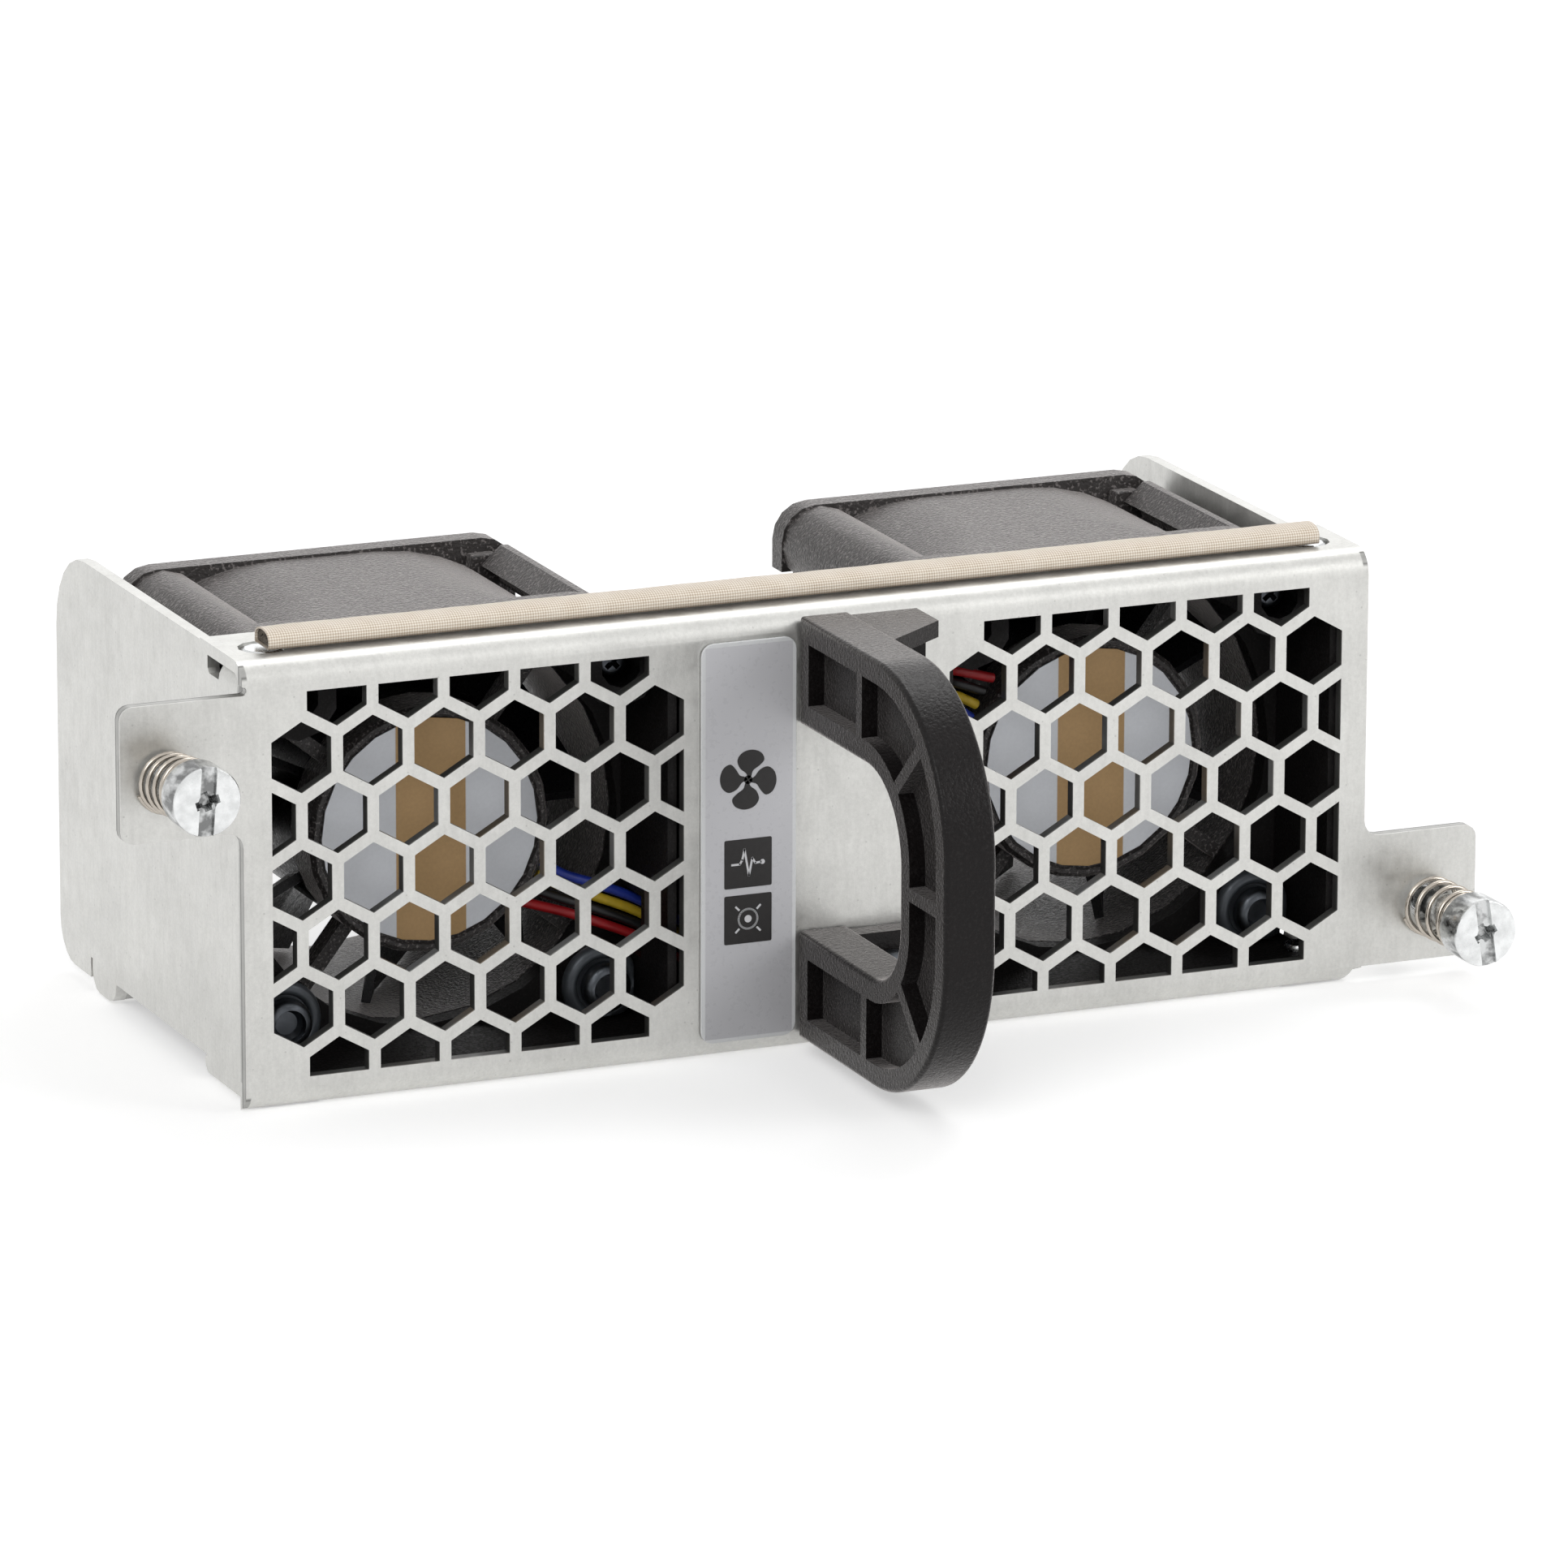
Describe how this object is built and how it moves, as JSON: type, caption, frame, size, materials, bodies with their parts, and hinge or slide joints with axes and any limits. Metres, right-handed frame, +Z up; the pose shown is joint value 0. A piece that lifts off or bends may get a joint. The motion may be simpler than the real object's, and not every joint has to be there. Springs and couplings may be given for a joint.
{
  "type": "switch fan tray",
  "caption": "Perforated steel fan tray with ducted axial fans, a D handle, a top seal and spring-loaded captive screws on its ears.",
  "frame": {"origin": "middle of the tray's footprint, at the underside of its front sheet", "axes": "+X to the right of the front face, +Y from the front face to the rear, +Z up"},
  "size_m": [0.138, 0.0874, 0.0448],
  "materials": {
    "galvanised": "galvanised sheet, satin",
    "zinc": "bright zinc plate",
    "dark_zinc": "dark zinc plate",
    "spring_steel": "drawn wire",
    "black_plastic": "fine moulded texture",
    "rotor_plastic": "satin",
    "conductive_fabric": "woven conductive fabric over foam",
    "label_film": "satin film",
    "fan_label": "printed foil, left bare",
    "light_guide": "clear moulding",
    "circuit_board": "solder mask",
    "connector_plastic": "moulded",
    "motor_copper": "varnished winding on laminations",
    "bearing_steel": "ground",
    "lead_red": "insulated wire",
    "lead_black": "insulated wire",
    "lead_yellow": "insulated wire",
    "lead_blue": "insulated wire"
  },
  "bodies": {
    "tray": {"board_screw_front": "zinc", "board_screw_rear": "zinc", "captive_spring_left": "spring_steel", "captive_spring_right": "spring_steel", "control_board": "circuit_board", "duct_frame": "black_plastic", "emi_gasket": "conductive_fabric", "fan_bearing_left": "bearing_steel", "fan_bearing_right": "bearing_steel", "fan_frame_left": "black_plastic", "fan_frame_right": "black_plastic", "fan_screw_left_1": "dark_zinc", "fan_screw_left_2": "dark_zinc", "fan_screw_left_3": "dark_zinc", "fan_screw_left_4": "dark_zinc", "fan_screw_right_1": "dark_zinc", "fan_screw_right_2": "dark_zinc", "fan_screw_right_3": "dark_zinc", "fan_screw_right_4": "dark_zinc", "fan_socket_left": "connector_plastic", "fan_socket_right": "connector_plastic", "fan_stator_left": "motor_copper", "fan_stator_right": "motor_copper", "fan_washer_left_1": "dark_zinc", "fan_washer_left_2": "dark_zinc", "fan_washer_right_1": "dark_zinc", "fan_washer_right_2": "dark_zinc", "flange_rivet_bottom_left": "zinc", "flange_rivet_bottom_right": "zinc", "flange_rivet_top_left": "zinc", "flange_rivet_top_right": "zinc", "front_panel": "galvanised", "handle": "black_plastic", "handle_nut_lower": "zinc", "handle_nut_upper": "zinc", "handle_screw_lower": "dark_zinc", "handle_screw_upper": "dark_zinc", "hub_label_left": "fan_label", "hub_label_right": "fan_label", "label_strip": "label_film", "lead_left_black": "lead_black", "lead_left_blue": "lead_blue", "lead_left_red": "lead_red", "lead_left_yellow": "lead_yellow", "lead_right_black": "lead_black", "lead_right_blue": "lead_blue", "lead_right_red": "lead_red", "lead_right_yellow": "lead_yellow", "light_guide_locator": "light_guide", "light_guide_status": "light_guide", "rear_connector": "connector_plastic", "side_panel_left": "galvanised", "side_panel_right": "galvanised"},
    "rotor_left": {"fan_rotor_left": "rotor_plastic"},
    "rotor_right": {"fan_rotor_right": "rotor_plastic"},
    "captive_stop_left": {"captive_clip_left": "zinc"},
    "captive_stop_right": {"captive_clip_right": "zinc"},
    "captive_bolt_left": {"captive_screw_left": "zinc"},
    "captive_bolt_right": {"captive_screw_right": "zinc"}
  },
  "joints": [
    {"name": "fan_spin_left", "type": "hinge", "parent": "tray", "child": "rotor_left", "pos_m": [-0.0339, 0.02025, 0.0217], "axis": [0, 1, 0], "continuous": true},
    {"name": "fan_spin_right", "type": "hinge", "parent": "tray", "child": "rotor_right", "pos_m": [0.0339, 0.02025, 0.0217], "axis": [0, 1, 0], "continuous": true},
    {"name": "captive_travel_left", "type": "slide", "parent": "tray", "child": "captive_stop_left", "axis": [0, 1, 0], "range_m": [-0.002, 0.0032], "deforming": ["captive_spring_left"]},
    {"name": "captive_turn_left", "type": "hinge", "parent": "captive_stop_left", "child": "captive_bolt_left", "pos_m": [-0.0642, -0.01975, 0.0331], "axis": [0, 1, 0], "continuous": true},
    {"name": "captive_travel_right", "type": "slide", "parent": "tray", "child": "captive_stop_right", "axis": [0, 1, 0], "range_m": [0, 0.0052], "deforming": ["captive_spring_right"]},
    {"name": "captive_turn_right", "type": "hinge", "parent": "captive_stop_right", "child": "captive_bolt_right", "pos_m": [0.0642, -0.02175, 0.0073], "axis": [0, 1, 0], "continuous": true}
  ]
}
